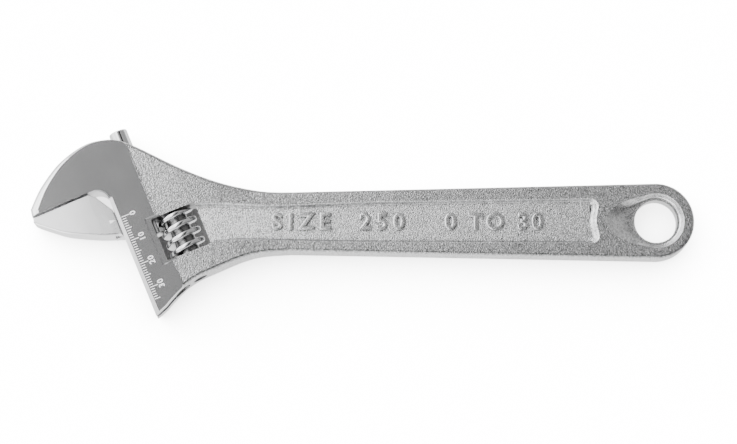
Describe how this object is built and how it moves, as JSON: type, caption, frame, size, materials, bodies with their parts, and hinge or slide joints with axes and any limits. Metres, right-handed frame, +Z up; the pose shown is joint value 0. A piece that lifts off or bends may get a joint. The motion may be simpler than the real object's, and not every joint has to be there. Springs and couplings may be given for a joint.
{
  "type": "adjustable wrench",
  "caption": "Adjustable wrench with a fixed and a sliding jaw, a thumb worm on its own pin, channelled forged handle and a hanging hole.",
  "frame": {"origin": "on the surface the wrench lies on, under the middle of its box", "axes": "+X along the handle towards the hanging hole, +Y towards the fixed jaw's side, +Z up through the thickness"},
  "size_m": [0.26, 0.0748, 0.015],
  "materials": {
    "forged_chrome": "satin chrome on a blasted forging, with ground faces on the head",
    "jaw_chrome": "satin chrome, ground and polished jaw",
    "worm_steel": "bright polished plated steel",
    "pin_steel": "plain turned steel",
    "spring_steel": "drawn spring wire"
  },
  "bodies": {
    "body": {"body": "forged_chrome", "worm_pin": "pin_steel", "spring": "spring_steel"},
    "worm": {"worm": "worm_steel"},
    "movable_jaw": {"movable_jaw": "jaw_chrome"}
  },
  "joints": [
    {"name": "worm_spin", "type": "hinge", "parent": "body", "child": "worm", "pos_m": [-0.0709, -0.0044, 0.0075], "axis": [-0.3827, 0.9239, 0], "range_deg": [-33, 2457]},
    {"name": "jaw_slide", "type": "slide", "parent": "body", "child": "movable_jaw", "axis": [0.3827, -0.9239, 0], "range_m": [-0.0004, 0.03002]}
  ],
  "couplings": [
    {"joint": "worm_spin", "follows": "jaw_slide", "rad_per_m": 1428}
  ]
}
